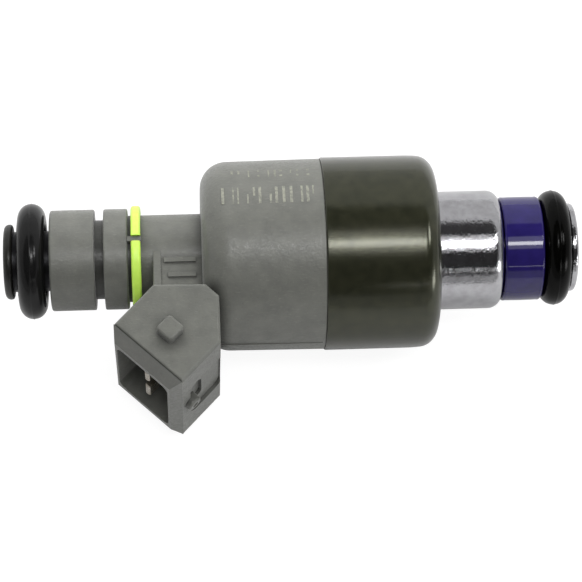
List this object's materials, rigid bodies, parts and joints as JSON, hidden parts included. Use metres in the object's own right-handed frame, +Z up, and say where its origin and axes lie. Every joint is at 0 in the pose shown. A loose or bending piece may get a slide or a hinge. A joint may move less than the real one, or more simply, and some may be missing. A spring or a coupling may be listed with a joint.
{
  "type": "fuel injector",
  "caption": "Top-feed port fuel injector: round steel and moulded body with a seal at each end, a split colour ring and an angled electrical socket.",
  "frame": {"origin": "centre of the lower seal, on the injector's axis", "axes": "+X along the axis in the direction of fuel flow, out of the nozzle; the electrical socket points to -Y and back towards the inlet; +Z up as the injector lies on a bench, square to the socket's plane of symmetry"},
  "size_m": [0.0721, 0.0327, 0.0244],
  "materials": {
    "chrome_steel": "polished",
    "inner_steel": "satin",
    "hardened_steel": "ground",
    "seal_rubber": "satin, lightly oiled",
    "spacer_plastic": "gloss indigo",
    "housing_coat": "dark olive plating, semi-gloss",
    "body_nylon": "glass-filled nylon, lightly mottled",
    "bobbin_nylon": "matte",
    "winding": "enamelled copper",
    "terminal_metal": "tin plated",
    "colour_ring": "bright lime",
    "spring_steel": "drawn wire",
    "cap_plastic": "dark, semi-gloss",
    "filter_plastic": "natural nylon",
    "mesh": "fine woven mesh"
  },
  "bodies": {
    "injector_body": {"tip_retainer": "chrome_steel", "lower_o_ring": "seal_rubber", "spacer_ring": "spacer_plastic", "nozzle_body": "chrome_steel", "director_plate": "hardened_steel", "valve_seat": "hardened_steel", "seat_seal": "seal_rubber", "ball_guide": "hardened_steel", "return_spring": "spring_steel", "adjusting_sleeve": "inner_steel", "lift_spacer": "inner_steel", "nonmagnetic_ring": "inner_steel", "pole_piece": "inner_steel", "solenoid_housing": "housing_coat", "flux_washer": "inner_steel", "coil_bobbin": "bobbin_nylon", "coil_winding": "winding", "bobbin_front_seal": "seal_rubber", "bobbin_back_seal": "seal_rubber", "terminal_near": "terminal_metal", "terminal_far": "terminal_metal", "overmould_body": "body_nylon", "colour_ring": "colour_ring", "inlet_tube": "inner_steel", "filter_frame": "filter_plastic", "filter_mesh": "mesh", "inlet_cap": "cap_plastic", "upper_o_ring": "seal_rubber"},
    "armature": {"armature": "inner_steel", "ball_valve": "hardened_steel"}
  },
  "joints": [
    {"name": "armature_lift", "type": "slide", "parent": "injector_body", "child": "armature", "axis": [-1, 0, 0], "range_m": [0, 0.00015], "stiffness_N_per_m": 2000, "springref_m": -0.001, "deforming": ["return_spring"]}
  ]
}
